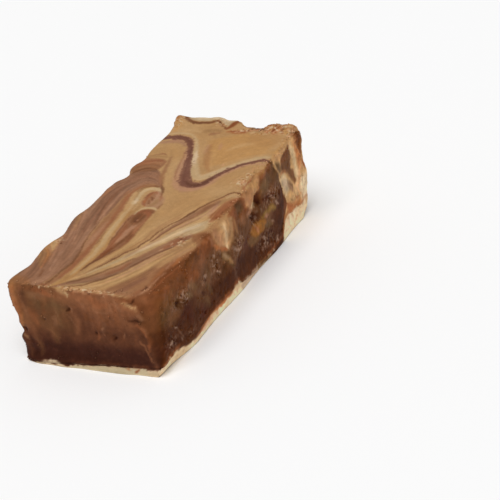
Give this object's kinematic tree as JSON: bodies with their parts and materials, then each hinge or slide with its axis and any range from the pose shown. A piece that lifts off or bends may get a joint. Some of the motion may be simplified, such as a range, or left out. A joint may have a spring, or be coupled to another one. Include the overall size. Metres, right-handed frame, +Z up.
{
  "type": "marbled fudge bar",
  "caption": "Cut bar of marbled chocolate and caramel fudge on a thin cream layer, with a ragged far end and a torn corner.",
  "frame": {"origin": "centre of the bar's bounding box, on the flat base that it lies on", "axes": "+X along the bar from the cut near end to the far end that stood against the tray, +Y across it to the wavy side, +Z up from the cream base to the swirled top"},
  "size_m": [0.117, 0.0519, 0.0346],
  "materials": {
    "cream": "pale vanilla fudge, satin",
    "fudge": "marbled chocolate and caramel fudge, satin, with crumbly cut sides"
  },
  "bodies": {
    "root": {"cream_base": "cream", "marbled_fudge": "fudge"}
  },
  "joints": []
}
